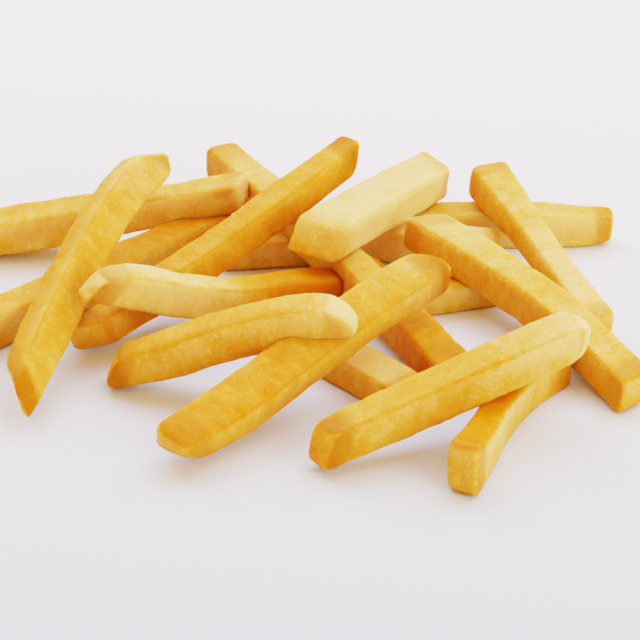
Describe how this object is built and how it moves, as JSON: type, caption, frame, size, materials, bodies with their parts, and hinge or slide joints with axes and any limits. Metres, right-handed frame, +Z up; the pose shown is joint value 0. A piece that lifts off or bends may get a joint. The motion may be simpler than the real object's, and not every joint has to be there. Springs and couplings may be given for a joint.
{
  "type": "french fries portion",
  "caption": "A loose heap of thick-cut french fries, crossing and leaning on each other, joined into one body that rests on a low flat core.",
  "frame": {"origin": "on the table, under the middle of the heap's bounding box", "axes": "+X along the heap's long side, +Y from front to back, +Z up"},
  "size_m": [0.1723, 0.1487, 0.0298],
  "materials": {
    "fried_potato": "golden fried potato, pale on top, darker gold along the edges and browned at some tips, with a faint oily sheen"
  },
  "bodies": {
    "root": {"fries": "fried_potato"}
  },
  "joints": []
}
